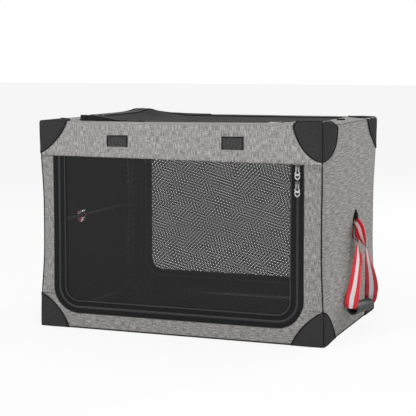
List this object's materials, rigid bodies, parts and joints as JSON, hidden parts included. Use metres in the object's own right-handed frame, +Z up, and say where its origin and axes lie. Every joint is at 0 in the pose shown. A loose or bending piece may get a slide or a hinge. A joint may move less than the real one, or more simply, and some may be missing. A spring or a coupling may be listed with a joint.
{
  "type": "folding pet crate",
  "caption": "Soft-sided folding pet crate: cloth walls with zipped net doors in front, behind and on top, over a folding tube frame with pull handles at both ends.",
  "frame": {"origin": "centre of the crate's footprint, on the underside of the floor board", "axes": "+X along the crate's length towards the end with the pictured handle, +Y from the front door to the back door, +Z up"},
  "size_m": [0.7556, 0.4696, 0.4745],
  "materials": {
    "wall_cloth": "grey heathered woven cloth with vertical slubs",
    "corner_cloth": "charcoal woven cloth with a darker bound edge",
    "floor_cloth": "black coated cloth",
    "mat_cloth": "dark soft pile",
    "zip_tape": "black zip tape and coil",
    "net": "fine black knitted net",
    "webbing": "dark stitched webbing",
    "frame_tube": "satin black coated tube",
    "bright_steel": "bright plated steel",
    "ribbon": "flat ribbon striped red, white and red along its length",
    "grip": "matt black foam grip"
  },
  "bodies": {
    "base": {"floor_board": "floor_cloth", "floor_mat": "mat_cloth", "bottom_frame": "frame_tube", "left_end_panel": "wall_cloth", "right_end_panel": "wall_cloth", "front_surround": "wall_cloth", "back_surround": "wall_cloth", "front_zip_tape": "zip_tape", "back_zip_tape": "zip_tape", "lower_front_left_cover": "corner_cloth", "lower_front_right_cover": "corner_cloth", "lower_back_left_cover": "corner_cloth", "lower_back_right_cover": "corner_cloth"},
    "right_lower_legs": {"right_front_lower_leg": "frame_tube", "right_back_lower_leg": "frame_tube", "right_knee_bar": "bright_steel", "right_ribbon_tie": "ribbon"},
    "right_upper_legs": {"right_front_upper_leg": "frame_tube", "right_back_upper_leg": "frame_tube"},
    "left_lower_legs": {"left_front_lower_leg": "frame_tube", "left_back_lower_leg": "frame_tube", "left_knee_bar": "bright_steel", "left_ribbon_tie": "ribbon"},
    "left_upper_legs": {"left_front_upper_leg": "frame_tube", "left_back_upper_leg": "frame_tube"},
    "top": {"top_frame": "frame_tube", "top_panel": "wall_cloth", "top_zip_tape": "zip_tape", "upper_front_left_cover": "corner_cloth", "upper_front_right_cover": "corner_cloth", "upper_back_left_cover": "corner_cloth", "upper_back_right_cover": "corner_cloth"},
    "headers": {"front_header": "wall_cloth", "front_first_tab": "webbing", "front_second_tab": "webbing", "back_header": "wall_cloth", "back_first_tab": "webbing", "back_second_tab": "webbing"},
    "front_door": {"front_door_trim": "zip_tape", "front_door_net": "net", "front_upper_zip_slider": "bright_steel"},
    "back_door": {"back_door_trim": "zip_tape", "back_door_net": "net", "back_upper_zip_slider": "bright_steel"},
    "top_door": {"top_door_trim": "zip_tape", "top_door_net": "net", "top_upper_zip_slider": "bright_steel"},
    "front_slider": {"front_lower_zip_slider": "bright_steel"},
    "back_slider": {"back_lower_zip_slider": "bright_steel"},
    "top_slider": {"top_lower_zip_slider": "bright_steel"},
    "front_upper_pull": {"front_upper_zip_pull": "bright_steel"},
    "front_lower_pull": {"front_lower_zip_pull": "bright_steel"},
    "back_upper_pull": {"back_upper_zip_pull": "bright_steel"},
    "back_lower_pull": {"back_lower_zip_pull": "bright_steel"},
    "top_upper_pull": {"top_upper_zip_pull": "bright_steel"},
    "top_lower_pull": {"top_lower_zip_pull": "bright_steel"},
    "right_pull": {"right_pull_ribbon": "ribbon", "right_pull_handle": "grip"},
    "left_pull": {"left_pull_ribbon": "ribbon", "left_pull_handle": "grip"}
  },
  "joints": [
    {"name": "fold", "type": "hinge", "parent": "base", "child": "right_lower_legs", "pos_m": [0.3075, 0, 0.0298], "axis": [0, -1, 0], "range_deg": [0, 84], "deforming": ["left_end_panel", "right_end_panel", "front_surround", "back_surround", "front_zip_tape", "back_zip_tape", "lower_front_left_cover", "lower_front_right_cover", "lower_back_left_cover", "lower_back_right_cover", "upper_front_left_cover", "upper_front_right_cover", "upper_back_left_cover", "upper_back_right_cover", "front_header", "front_first_tab", "front_second_tab", "front_door_trim", "front_door_net", "back_header", "back_first_tab", "back_second_tab", "back_door_trim", "back_door_net", "left_pull_ribbon", "right_pull_ribbon"]},
    {"name": "right_knee_fold", "type": "hinge", "parent": "right_lower_legs", "child": "right_upper_legs", "pos_m": [0.313, 0, 0.22955], "axis": [0, -1, 0], "range_deg": [-168, 0]},
    {"name": "top_carry", "type": "hinge", "parent": "right_upper_legs", "child": "top", "pos_m": [0.3075, 0, 0.4293], "axis": [0, -1, 0], "range_deg": [0, 84]},
    {"name": "left_fold", "type": "hinge", "parent": "base", "child": "left_lower_legs", "pos_m": [-0.3075, 0, 0.0298], "axis": [0, 1, 0], "range_deg": [0, 84]},
    {"name": "left_knee_fold", "type": "hinge", "parent": "left_lower_legs", "child": "left_upper_legs", "pos_m": [-0.313, 0, 0.22955], "axis": [0, 1, 0], "range_deg": [-168, 0]},
    {"name": "header_gather", "type": "slide", "parent": "top", "child": "headers", "axis": [0, 0, 1], "range_m": [0, 0.058]},
    {"name": "front_door_open", "type": "hinge", "parent": "headers", "child": "front_door", "pos_m": [0, -0.23, 0.38], "axis": [1, 0, 0], "range_deg": [-120, 0]},
    {"name": "back_door_open", "type": "hinge", "parent": "headers", "child": "back_door", "pos_m": [0, 0.23, 0.38], "axis": [-1, 0, 0], "range_deg": [-120, 0]},
    {"name": "top_door_open", "type": "hinge", "parent": "top", "child": "top_door", "pos_m": [0.262, 0, 0.4585], "axis": [0, -1, 0], "range_deg": [-120, 0]},
    {"name": "front_slider_run", "type": "slide", "parent": "front_door", "child": "front_slider", "axis": [0, 0, 1], "range_m": [-0.235, 0]},
    {"name": "back_slider_run", "type": "slide", "parent": "back_door", "child": "back_slider", "axis": [0, 0, 1], "range_m": [-0.235, 0]},
    {"name": "top_slider_run", "type": "slide", "parent": "top_door", "child": "top_slider", "axis": [1, 0, 0], "range_m": [-0.2, 0]},
    {"name": "front_upper_pull_swing", "type": "hinge", "parent": "front_door", "child": "front_upper_pull", "pos_m": [0.269, -0.23295, 0.372], "axis": [-1, 0, 0], "range_deg": [0, 150]},
    {"name": "front_lower_pull_swing", "type": "hinge", "parent": "front_slider", "child": "front_lower_pull", "pos_m": [0.269, -0.23295, 0.337], "axis": [-1, 0, 0], "range_deg": [0, 150]},
    {"name": "back_upper_pull_swing", "type": "hinge", "parent": "back_door", "child": "back_upper_pull", "pos_m": [-0.269, 0.23295, 0.372], "axis": [1, 0, 0], "range_deg": [0, 150]},
    {"name": "back_lower_pull_swing", "type": "hinge", "parent": "back_slider", "child": "back_lower_pull", "pos_m": [-0.269, 0.23295, 0.337], "axis": [1, 0, 0], "range_deg": [0, 150]},
    {"name": "top_upper_pull_swing", "type": "hinge", "parent": "top_door", "child": "top_upper_pull", "pos_m": [0.254, -0.193, 0.46145], "axis": [0, 1, 0], "range_deg": [0, 150]},
    {"name": "top_lower_pull_swing", "type": "hinge", "parent": "top_slider", "child": "top_lower_pull", "pos_m": [0.219, -0.193, 0.46145], "axis": [0, 1, 0], "range_deg": [0, 150]},
    {"name": "right_pull_swing", "type": "hinge", "parent": "base", "child": "right_pull", "pos_m": [0.3265, 0.042, 0.22955], "axis": [0, 1, 0], "range_deg": [-80, 0]},
    {"name": "left_pull_swing", "type": "hinge", "parent": "base", "child": "left_pull", "pos_m": [-0.3265, -0.042, 0.22955], "axis": [0, -1, 0], "range_deg": [-80, 0]}
  ],
  "couplings": [
    {"joint": "right_knee_fold", "follows": "fold", "ratio": -2},
    {"joint": "top_carry", "follows": "fold", "ratio": 1},
    {"joint": "left_fold", "follows": "fold", "ratio": 1},
    {"joint": "left_knee_fold", "follows": "fold", "ratio": -2},
    {"joint": "header_gather", "follows": "fold", "m_per_rad": 0.0395}
  ]
}
